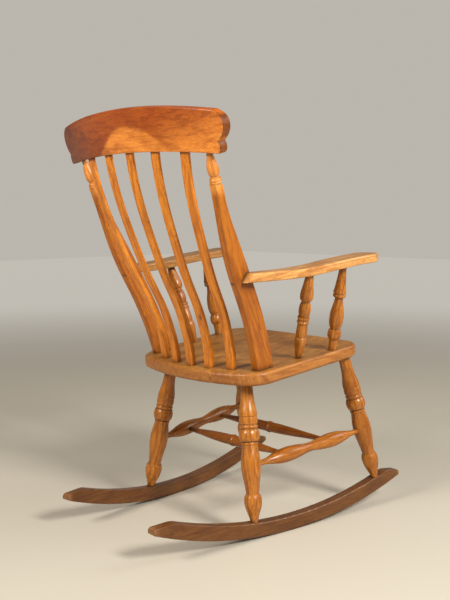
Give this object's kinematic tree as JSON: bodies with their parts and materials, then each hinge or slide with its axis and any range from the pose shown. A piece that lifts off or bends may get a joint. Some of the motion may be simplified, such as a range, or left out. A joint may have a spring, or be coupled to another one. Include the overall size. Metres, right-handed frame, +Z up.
{
  "type": "rocking armchair",
  "caption": "High-backed wooden rocking armchair with a bowed crest rail, curved upright laths, shaped arms on turned supports, turned legs and sawn rockers.",
  "frame": {"origin": "on the floor, at the middle of the chair's bounding box seen from above", "axes": "+Z up, -Y towards the front of the chair, +X towards the sitter's left; the chair stands as it comes to rest on level ground"},
  "size_m": [0.6156, 0.8266, 1.0624],
  "materials": {
    "seat_wood": "waxed, satin",
    "crest_wood": "polished, reddish brown, worn paler low in the middle",
    "lath_wood": "waxed, satin",
    "post_wood": "waxed, satin",
    "arm_wood": "waxed, worn smooth",
    "turned_wood": "polished, dark in the grooves",
    "rocker_wood": "satin, darker",
    "plug_wood": "satin, dark",
    "screw_steel": "plain steel"
  },
  "bodies": {
    "root": {"seat": "seat_wood", "crest_rail": "crest_wood", "lath_1": "lath_wood", "lath_2": "lath_wood", "lath_3": "lath_wood", "lath_4": "lath_wood", "lath_5": "lath_wood", "back_post_left": "post_wood", "back_post_right": "post_wood", "arm_left": "arm_wood", "arm_right": "arm_wood", "arm_support_rear_left": "turned_wood", "arm_support_rear_right": "turned_wood", "arm_support_front_left": "turned_wood", "arm_support_front_right": "turned_wood", "leg_rear_left": "turned_wood", "leg_rear_right": "turned_wood", "leg_front_left": "turned_wood", "leg_front_right": "turned_wood", "side_stretcher_left": "turned_wood", "side_stretcher_right": "turned_wood", "rocker_left": "rocker_wood", "rocker_right": "rocker_wood", "cross_stretcher_rear": "turned_wood", "cross_stretcher_front": "turned_wood", "plug_left": "plug_wood", "plug_right": "plug_wood", "arm_screw_left": "screw_steel", "arm_screw_right": "screw_steel"}
  },
  "joints": []
}
